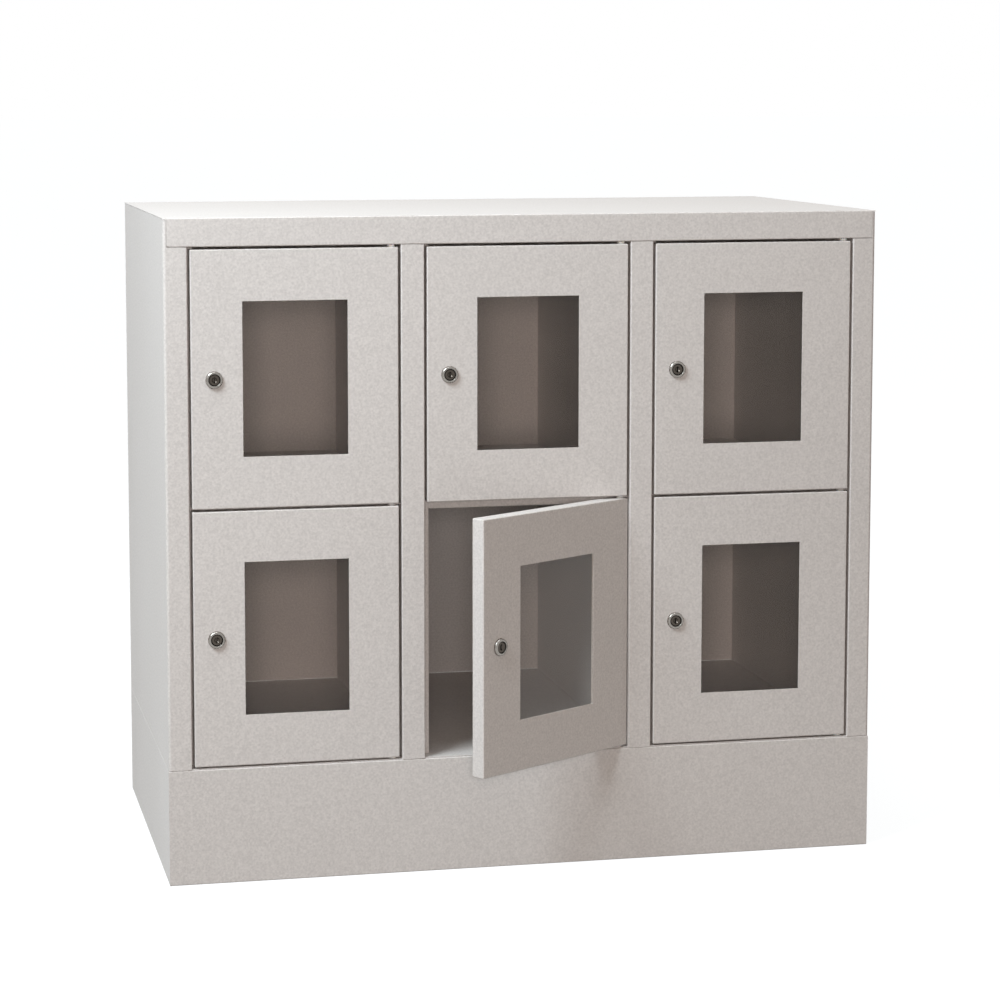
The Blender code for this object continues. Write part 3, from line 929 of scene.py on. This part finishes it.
nut_width = 0.022
nut_thickness = 0.004
nut_chamfer = 0.0007
bpy.ops.object.select_all(action="DESELECT")
bpy.ops.mesh.primitive_cylinder_add(vertices=6, radius=nut_width / 2 / cos(pi / 6),
                                    depth=nut_thickness,
                                    location=(0, 0, skin_depth + nut_thickness / 2))
nut = bpy.context.object
nut.name = nut.data.name = "lock_nut"
bpy.ops.object.transform_apply(location=True, rotation=True, scale=True)
bpy.ops.object.mode_set(mode="EDIT")
pick("EDGE", lambda edge: abs(edge.verts[0].co.z - edge.verts[1].co.z) < near)
bpy.ops.mesh.bevel(offset=nut_chamfer, segments=2, affect="EDGES")
bpy.ops.object.mode_set(mode="OBJECT")
drill(nut, barrel_radius - near, (0, 0, 0), (0, 0, nut_width), vertices=64)
smooth(nut, turned_angle)
keep_master("lock_nut", nut, "nickel_plated_zinc")

# %% [markdown]
# ### Plug
#
# The plug's face is dished round the key slot, and the dish throws back a small bright glint.
# Behind, a square spigot carries the cam.

# %% Plug with its key slot

plug_radius = 0.0065
plug_setback = 0.0014
plug_face = plug_setback - collar_height
dish_radius = 0.0034
dish_depth = 0.0013
dish_wall_shares = (0.65, 0.9)
spigot_half = 0.0035
cam_front, cam_back = 0.024, 0.0265
dish_wall = (dish_radius * dish_wall_shares[0], plug_face + dish_depth * dish_wall_shares[1])
profile = ((0, body_end), (plug_radius, body_end), (plug_radius, plug_face),
           (dish_radius, plug_face), dish_wall, (0, plug_face + dish_depth))
plug = spin_profile("lock_plug_piece", profile, ((plug_radius, plug_face, rim_round),))
combine(plug, add_block("spigot", (-spigot_half, -spigot_half, body_end - overrun),
                        (spigot_half, spigot_half, cam_back - 2 * gap)), "UNION")
slot_half_width, slot_half_length, slot_depth = 0.0009, 0.0039, 0.006
cut_block(plug, (-slot_half_width, -slot_half_length, plug_face - overrun),
          (slot_half_width, slot_half_length, plug_face + slot_depth))
smooth(plug, turned_angle)
keep_master("lock_plug", plug, "nickel_plug_painted_dark")

# %% [markdown]
# ### Cam and screw
#
# The cam is a punched strip with rounded corners and a square hole. It points down when the door
# is unlocked. A flanged screw with a hexagon socket holds it on the spigot.

# %% Cam

cam_half_width = 0.008
cam_reach = 0.0284
cam_corner = 0.006
cam = add_block("lock_cam_piece", (-cam_half_width, -cam_half_width, cam_front),
                (cam_half_width, cam_reach, cam_back))
bpy.ops.object.mode_set(mode="EDIT")
pick("EDGE", lambda edge: abs(edge.verts[0].co.z - edge.verts[1].co.z) > near)
bpy.ops.mesh.bevel(offset=cam_corner, segments=8, affect="EDGES")
bpy.ops.object.mode_set(mode="OBJECT")
round_edges(cam)
hole = spigot_half + gap
cut_block(cam, (-hole, -hole, cam_front - overrun), (hole, hole, cam_back + overrun))
smooth(cam)
keep_master("lock_cam", cam, "zinc_plated_steel")

# %% Screw

washer_radius = 0.0065
washer_root, washer_rim = 0.0008, 0.0006
head_radius = 0.0042
head_rise = 0.002
socket_radius = 0.0029
socket_depth = 0.0013
screw_back, screw_seat = cam_back + head_rise, cam_back - near
profile = ((0, screw_back), (head_radius, screw_back), (head_radius, cam_back + washer_root),
           (washer_radius, cam_back + washer_rim), (washer_radius, screw_seat), (0, screw_seat))
screw = spin_profile("lock_screw", profile, ((head_radius, screw_back, end_round),), vertices=48)
drill(screw, socket_radius, (0, 0, screw_back - socket_depth), (0, 0, screw_back + overrun),
      vertices=6)
smooth(screw, turned_angle)
keep_master("lock_screw", screw, "zinc_plated_steel")
print("Lock, mm from the cam's screw to the collar:",
      round((screw_back + collar_height) * 1000, 1))

# %% [markdown]
# ## Hanging the doors
#
# The hinge joint of the model says where each axis stands, and its range says how far the door
# is from closed at rest. The lock pieces are turned into the door first.

# %% Copies on the six hinges

lock_place = Matrix.Translation((lock_x, face, door_height / 2)) @ Matrix.Rotation(-pi / 2, 4, "X")
bodies_of = {"lock_plug": "lock", "lock_cam": "lock", "lock_screw": "lock"}
stands_for = {"lock_body": "lock_housing", "lock_nut": "lock_housing", "lock_screw": "lock_cam"}


def place_copy(master, name, matrix):
    """A copy of a piece with its own mesh, moved to its place and left at the origin."""
    work_on(master)
    bpy.ops.object.duplicate(linked=False)
    piece = bpy.context.object
    piece.name = piece.data.name = name
    piece.matrix_world = matrix
    bpy.ops.object.transform_apply(location=True, rotation=True, scale=True)
    return piece


for joint in frame["joints"]:
    if not joint["name"].endswith("_hinge"):
        continue
    door = joint["name"].removesuffix("_hinge")
    open_angle = radians(-joint["range_deg"][0])
    hang = Matrix.Translation(joint["pos_m"]) @ Matrix.Rotation(open_angle, 4, "Z")
    for kind, (master, finish) in masters.items():
        matrix = hang @ lock_place if kind.startswith("lock") else hang
        piece = place_copy(master, f"{door}_{kind}_piece", matrix)
        body = f"{door}_{bodies_of.get(kind, 'door')}"
        slot = "nickel_plated_zinc" if finish == "nickel_plug_painted_dark" else finish
        settle(piece, finish, body, f"{door}_{stands_for.get(kind, kind)}", slot=slot)
for master, finish in masters.values():
    bpy.data.objects.remove(master)
print("Pieces per door:", len(masters))

# %% [markdown]
# ## Hinge pins
#
# The doors turn on snap-in nylon pins. A pin's collar keeps the door off the sheet beside it, and
# shows as a white dot in the gap. A rounded head keeps the pin in its hole from the other side.

# %% Three kinds of pin

pin_radius = 0.0025
collar = 0.0048
head = 0.0042
head_height = 0.002
tip = 0.001
engagement = 0.006
pin_round = 0.0003
pin_vertices = 32
moulded_angle = 40


def pin_profile(top_end, rings, bottom_end):
    """Section of a pin. rings are the radius, top and bottom of its wider parts."""
    profile = [(0, top_end), (pin_radius, top_end)]
    for radius, upper, lower in rings:
        profile += [(pin_radius, upper), (radius, upper), (radius, lower), (pin_radius, lower)]
    return [*profile, (pin_radius, bottom_end), (0, bottom_end)]


lower_edge, upper_edge = hinges["lower_left_hinge"].z, hinges["upper_left_hinge"].z
lower_top, upper_top = lower_edge + door_height, upper_edge + door_height
lip_seat, floor_seat = rail_bottom + skin_depth, plinth_top - skin_depth
tab_top, tab_bottom = tab_middle + sheet / 2, tab_middle - sheet / 2
pin_kinds = {
    "top": (lip_seat + head_height + tip,
            ((head, lip_seat + head_height, lip_seat),
             (collar, rail_bottom - gap, upper_top + gap)), upper_top - engagement),
    "middle": (upper_edge + engagement,
               ((collar, upper_edge - gap, tab_top + gap),
                (collar, tab_bottom - gap, lower_top + gap)), lower_top - engagement),
    "bottom": (lower_edge + engagement,
               ((collar, lower_edge - gap, floor_top + gap),
                (head, floor_seat, floor_seat - head_height)),
               floor_seat - head_height - tip),
}

# %% Turn the pins and set them in the columns

for kind, (top_end, rings, bottom_end) in pin_kinds.items():
    rounds = [(radius, height, pin_round) for radius, upper, lower in rings
              for height in (upper, lower)]
    rounds += [(pin_radius, top_end, pin_round), (pin_radius, bottom_end, pin_round)]
    pin_piece = spin_profile(f"pin_{kind}", pin_profile(top_end, rings, bottom_end), rounds,
                             pin_vertices)
    smooth(pin_piece, moulded_angle)
    for column in columns:
        x, y = hinges[f"upper_{column}_hinge"].xy
        piece = place_copy(pin_piece, f"{column}_{kind}_pin_piece", Matrix.Translation((x, y, 0)))
        settle(piece, "white_nylon", "carcass", f"{column}_{kind}_pin")
    bpy.data.objects.remove(pin_piece)
print("Pins:", len(pin_kinds) * len(columns))

# %% [markdown]
# ## Camera
#
# The photograph was taken from the left, from a little above, with a long lens. Upright lines
# stay almost upright, which a view camera does by shifting the picture in place of more tilt.

# %% Camera

eye = (-0.8187, -3.5366, 1.0)
down, roll, right_turn = 5.848, 0.108, 11.649

camera_data = bpy.data.cameras.new("camera")
camera_data.sensor_width = 36
camera_data.lens = 97.88
camera_data.shift_x = 0.07
camera_data.shift_y = -0.13
camera = bpy.data.objects.new("camera", camera_data)
camera.location = eye
camera.rotation_euler = Euler((radians(90 - down), radians(roll), radians(-right_turn)))
bpy.context.scene.collection.objects.link(camera)
bpy.context.scene.camera = camera
print("Camera at", eye, "with a lens of", round(camera_data.lens, 2), "mm")

# %% [markdown]
# ## Floor and background
#
# The background is plain white. To the camera, and in reflections, the world is pure white; to
# everything else it is only a soft, warm ambient light, so the object isn't flooded. The floor
# is shaded as a pale grey paper, so it keeps the locker's soft shadow, and to the eye a glow is
# added that lifts the lit paper to white. The glow is a touch cool, against the warm ambient.

# %% White for the camera, soft for the object


def seen_by_eye(tree):
    """One for camera, glossy and transmission rays, and zero for the others."""
    ray = add_node(tree, "ShaderNodeLightPath")
    either = add_node(tree, "ShaderNodeMath", {"Value": ray.outputs["Is Camera Ray"],
                                               "Value_001": ray.outputs["Is Glossy Ray"]},
                      operation="MAXIMUM")
    return add_node(tree, "ShaderNodeMath",
                    {"Value": either.outputs[0], "Value_001": ray.outputs["Is Transmission Ray"]},
                    operation="MAXIMUM").outputs[0]


world = bpy.data.worlds.new("studio")
bpy.context.scene.world = world
world.use_nodes = True
tree = world.node_tree
tree.nodes.clear()
ambient_light = 0.2
ambient = add_node(tree, "ShaderNodeBackground", {"Color": linear("#FCDEBD"),
                                                  "Strength": ambient_light})
white = add_node(tree, "ShaderNodeBackground", {"Color": (1, 1, 1, 1), "Strength": 1.0})
sky = add_node(tree, "ShaderNodeMixShader",
               {"Fac": seen_by_eye(tree), "Shader": ambient.outputs[0],
                "Shader_001": white.outputs[0]})
add_node(tree, "ShaderNodeOutputWorld", {"Surface": sky.outputs[0]})
print("Ambient light:", ambient_light)

# %% Floor

paper_glow = 0.905
paper_size = 200
bpy.ops.object.select_all(action="DESELECT")
bpy.ops.mesh.primitive_plane_add(size=paper_size)
floor = bpy.context.object
floor.name = "studio_floor"
paper, tree = new_material("floor_paper")
diffuse = add_node(tree, "ShaderNodeBsdfDiffuse", {"Color": linear("#7C7B7A")})
share = add_node(tree, "ShaderNodeMath", {"Value": seen_by_eye(tree), "Value_001": paper_glow},
                 operation="MULTIPLY")
glow = add_node(tree, "ShaderNodeEmission",
                {"Color": linear("#FCFEFF"), "Strength": share.outputs[0]})
ground = add_node(tree, "ShaderNodeAddShader",
                  {"Shader": diffuse.outputs[0], "Shader_001": glow.outputs[0]})
add_node(tree, "ShaderNodeOutputMaterial", {"Surface": ground.outputs[0]})
floor.data.materials.append(paper)
floor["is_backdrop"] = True
print("Floor of paper,", paper_size, "m wide")

# %% [markdown]
# ## Lamps
#
# A soft box stands to the left of the locker, above it and near enough that the light falls off
# towards the lower right. A smaller, slightly warm one by the camera reaches through the windows
# and lights the backs of the compartments; it leaves no image of itself in the panes. A weak,
# wide light from straight above brightens the roof and lays the shadow round the foot.

# %% Soft boxes and the light from above

bpy.context.scene.view_settings.view_transform = "Standard"


def add_lamp(name, kind, power, colour, place, target=(0, 0, 0.5), **settings):
    """A lamp of one kind that looks at a target."""
    data = bpy.data.lights.new(name, kind)
    data.energy = power
    data.color = linear(colour)[:3]
    for setting, value in settings.items():
        setattr(data, setting, value)
    lamp = bpy.data.objects.new(name, data)
    lamp.location = place
    lamp.rotation_euler = (Vector(target) - Vector(place)).to_track_quat("-Z", "Y").to_euler()
    bpy.context.scene.collection.objects.link(lamp)
    print("Lamp", name, "of strength", power)
    return lamp


add_lamp("key", "AREA", power=83, colour="#EBF7FE", place=(-1.7, -1.2, 2.4), size=1.1)
fill = add_lamp("fill", "AREA", power=37, colour="#FCF1ED", place=(-0.8, -3.6, 0.98),
                target=(0, 0, 0.45), size=0.6)
fill.visible_glossy = False
add_lamp("ceiling", "SUN", power=1.24, colour="#F8FCFF", place=(0, 0, 3), angle=radians(30))

# %% Sizes and the end

low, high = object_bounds()
print("Visual model, mm:", [round(side * 1000, 1) for side in high - low])
